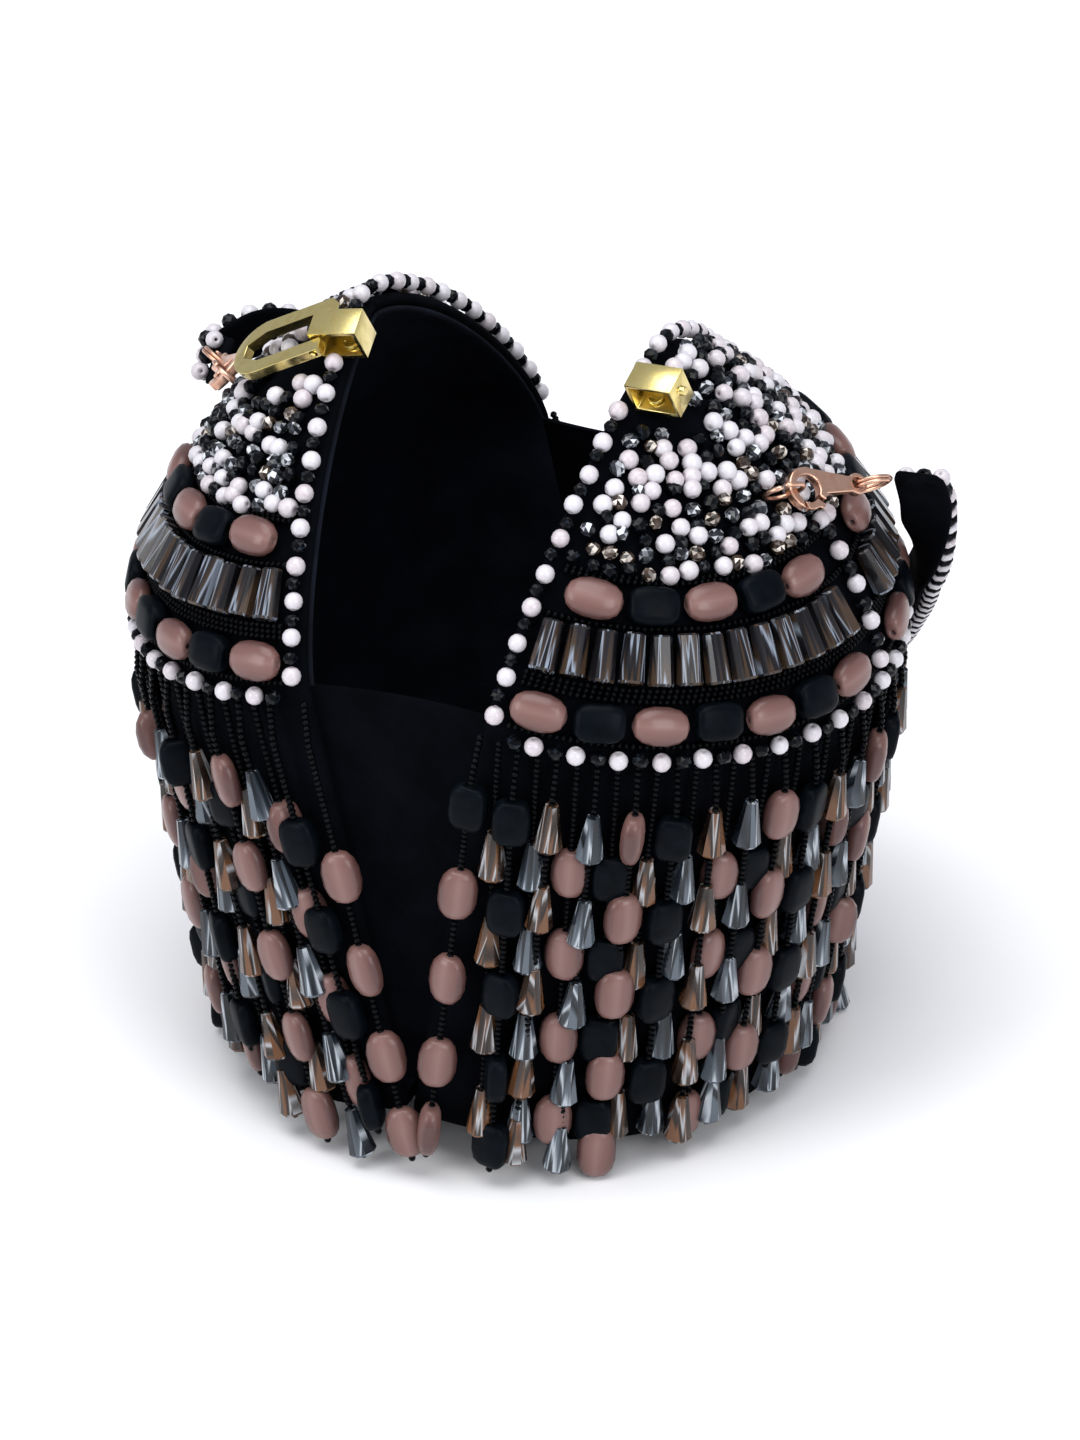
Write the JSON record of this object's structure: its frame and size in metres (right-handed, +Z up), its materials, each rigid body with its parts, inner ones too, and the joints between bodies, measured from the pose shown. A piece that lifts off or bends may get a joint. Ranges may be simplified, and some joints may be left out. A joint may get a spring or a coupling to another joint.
{
  "type": "box clutch",
  "caption": "Round black velvet box clutch standing open in a V, with bead-covered domes, a bead fringe down to the table, a flip clasp and a clip-on beaded wrist strap.",
  "frame": {"origin": "middle of the bounding box at the height of the table", "axes": "+Z up, front towards -Y, the half with the hasp towards -X; the V opens across X"},
  "size_m": [0.186, 0.1724, 0.182],
  "materials": {
    "velvet": "black velvet",
    "round_beads": "white, black and smoky round glass beads",
    "oval_beads": "satin pink and slate black oval glass beads",
    "crystals": "tapered clear and champagne cut glass",
    "gold_metal": "polished pale gold plate",
    "rose_gold_metal": "polished rose gold plate"
  },
  "bodies": {
    "bag": {"shell_left": "velvet", "lining_left": "velvet", "dome_beads_left": "round_beads", "upper_ovals_front_left": "oval_beads", "upper_ovals_back_left": "oval_beads", "crystals_front_left": "crystals", "crystals_back_left": "crystals", "lower_ovals_front_left": "oval_beads", "lower_ovals_back_left": "oval_beads", "hem_beads_left": "round_beads", "seam_beads_left": "round_beads", "rim_beads_front_left": "round_beads", "rim_beads_back_left": "round_beads", "fringe_left": "oval_beads", "clasp_box_left": "gold_metal", "clasp_screw_left": "gold_metal", "shell_ring_left": "rose_gold_metal", "claw_left": "rose_gold_metal", "split_ring_left": "rose_gold_metal", "hasp_pin": "gold_metal", "shell_right": "velvet", "lining_right": "velvet", "dome_beads_right": "round_beads", "upper_ovals_front_right": "oval_beads", "upper_ovals_back_right": "oval_beads", "crystals_front_right": "crystals", "crystals_back_right": "crystals", "lower_ovals_front_right": "oval_beads", "lower_ovals_back_right": "oval_beads", "hem_beads_right": "round_beads", "seam_beads_right": "round_beads", "rim_beads_front_right": "round_beads", "rim_beads_back_right": "round_beads", "fringe_right": "oval_beads", "clasp_box_right": "gold_metal", "clasp_screw_right": "gold_metal", "shell_ring_right": "rose_gold_metal", "claw_right": "rose_gold_metal", "split_ring_right": "rose_gold_metal", "gusset_front": "velvet", "gusset_back": "velvet", "hinge_strip": "velvet", "wrist_strap": "velvet"},
    "hasp_flap": {"hasp": "gold_metal"},
    "lever_left": {"claw_lever_left": "rose_gold_metal"},
    "lever_right": {"claw_lever_right": "rose_gold_metal"}
  },
  "joints": [
    {"name": "hasp_flip", "type": "hinge", "parent": "bag", "child": "hasp_flap", "pos_m": [-0.03857, -0.02829, 0.17661], "axis": [-0.0832, 0.9035, 0.4203], "range_deg": [0, 200]},
    {"name": "lever_left_press", "type": "hinge", "parent": "bag", "child": "lever_left", "pos_m": [-0.07491, -0.00637, 0.14629], "axis": [-0.7222, -0.137, 0.678], "range_deg": [0, 20], "stiffness_Nm_per_rad": 0.0002, "springref_deg": -17.19},
    {"name": "lever_right_press", "type": "hinge", "parent": "bag", "child": "lever_right", "pos_m": [0.07235, -0.01584, 0.14761], "axis": [-0.6984, 0.2728, -0.6617], "range_deg": [0, 20], "stiffness_Nm_per_rad": 0.0002, "springref_deg": -17.19}
  ]
}
